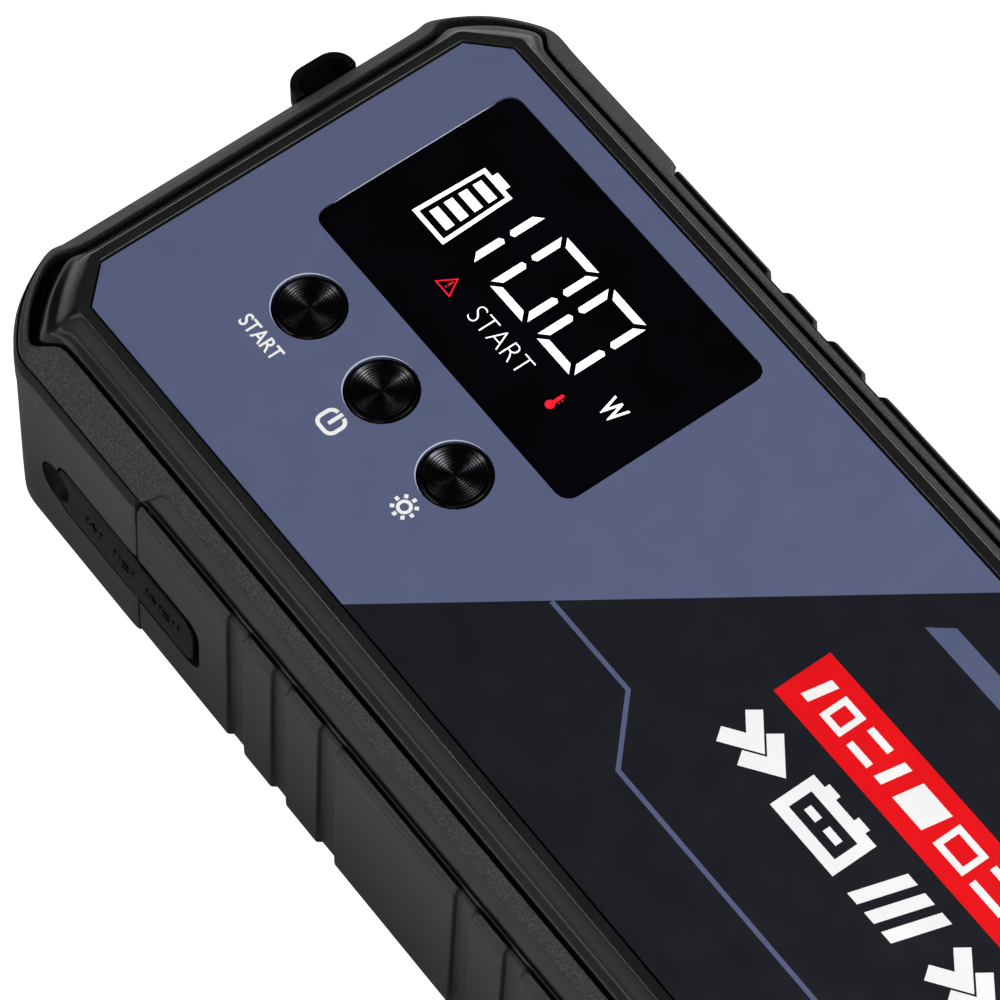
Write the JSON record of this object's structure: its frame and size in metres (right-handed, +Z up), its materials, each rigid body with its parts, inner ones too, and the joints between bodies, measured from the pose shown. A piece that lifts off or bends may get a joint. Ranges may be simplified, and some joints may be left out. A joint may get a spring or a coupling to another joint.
{
  "type": "jump starter pack",
  "caption": "Portable vehicle jump starter pack with a display, push buttons, ribbed rubber grips, a USB cover, an output socket under a pull-tab cover and an end lamp.",
  "frame": {"origin": "middle of the underside, midway between the ribbed long walls and between the ends of the face panel", "axes": "+X along the length, from the display end to the lamp end; +Z up out of the face; the USB cover is on the -Y wall"},
  "size_m": [0.2687, 0.1005, 0.045],
  "materials": {
    "casing_black": "moulded black, fine spark-eroded grain",
    "bezel_gloss": "polished black",
    "rubber_black": "matt black rubber",
    "panel_print": "satin printed face, blue-grey and near-black navy",
    "display_glass": "clear glossy window over a black display",
    "button_metal": "black anodised, turned in fine rings",
    "board_green": "green circuit board",
    "steel": "zinc-plated or bright formed steel",
    "brass": "turned brass",
    "aluminium": "bare extruded aluminium",
    "cell_wrap": "foil pouch",
    "socket_blue": "moulded blue nylon",
    "wire_red": "silicone insulation",
    "wire_black": "silicone insulation",
    "foam_grey": "open-cell foam or flat cable",
    "lens_clear": "clear moulded lens",
    "led_yellow": "phosphor-coated LED"
  },
  "bodies": {
    "pack": {"balance_board": "board_green", "battery_cell_1": "cell_wrap", "battery_cell_2": "cell_wrap", "battery_cell_3": "cell_wrap", "battery_cell_4": "cell_wrap", "bottom_cover": "casing_black", "case_screw_1": "steel", "case_screw_2": "steel", "case_screw_3": "steel", "case_screw_4": "steel", "case_screw_5": "steel", "case_screw_6": "steel", "cell_tray": "casing_black", "control_board": "board_green", "display_module": "casing_black", "display_window": "display_glass", "face_panel": "panel_print", "foam_pad": "foam_grey", "front_bezel": "bezel_gloss", "heat_sink": "aluminium", "lamp_board": "board_green", "lamp_led_1": "led_yellow", "lamp_led_2": "led_yellow", "lamp_lens": "lens_clear", "lamp_reflector": "aluminium", "light_switch": "casing_black", "main_board": "board_green", "output_socket": "socket_blue", "port_frame": "casing_black", "power_lead_black": "wire_black", "power_lead_red": "wire_red", "power_relay": "casing_black", "power_switch": "casing_black", "ribbon_cable": "foam_grey", "seal_gasket": "rubber_black", "side_grip_front": "rubber_black", "side_grip_rear": "rubber_black", "socket_contact_negative": "brass", "socket_contact_positive": "brass", "start_switch": "casing_black", "upper_shell": "casing_black", "usb_a_port": "steel", "usb_board": "board_green", "usb_c_port": "steel"},
    "start_button": {"start_button": "button_metal"},
    "power_button": {"power_button": "button_metal"},
    "light_button": {"light_button": "button_metal"},
    "usb_cover": {"usb_cover": "rubber_black"},
    "socket_cover": {"socket_cover": "rubber_black"}
  },
  "joints": [
    {"name": "start_press", "type": "slide", "parent": "pack", "child": "start_button", "axis": [0, 0, -1], "range_m": [0, 0.0006], "stiffness_N_per_m": 1500},
    {"name": "power_press", "type": "slide", "parent": "pack", "child": "power_button", "axis": [0, 0, -1], "range_m": [0, 0.0006], "stiffness_N_per_m": 1500},
    {"name": "light_press", "type": "slide", "parent": "pack", "child": "light_button", "axis": [0, 0, -1], "range_m": [0, 0.0006], "stiffness_N_per_m": 1500},
    {"name": "usb_cover_hinge", "type": "hinge", "parent": "pack", "child": "usb_cover", "pos_m": [-0.0736, -0.04919, 0.01515], "axis": [0, 0.045, 0.999], "range_deg": [0, 110]},
    {"name": "socket_cover_hinge", "type": "hinge", "parent": "pack", "child": "socket_cover", "pos_m": [-0.13186, 0.0147, 0.0092], "axis": [0, -1, 0], "range_deg": [0, 90]}
  ]
}
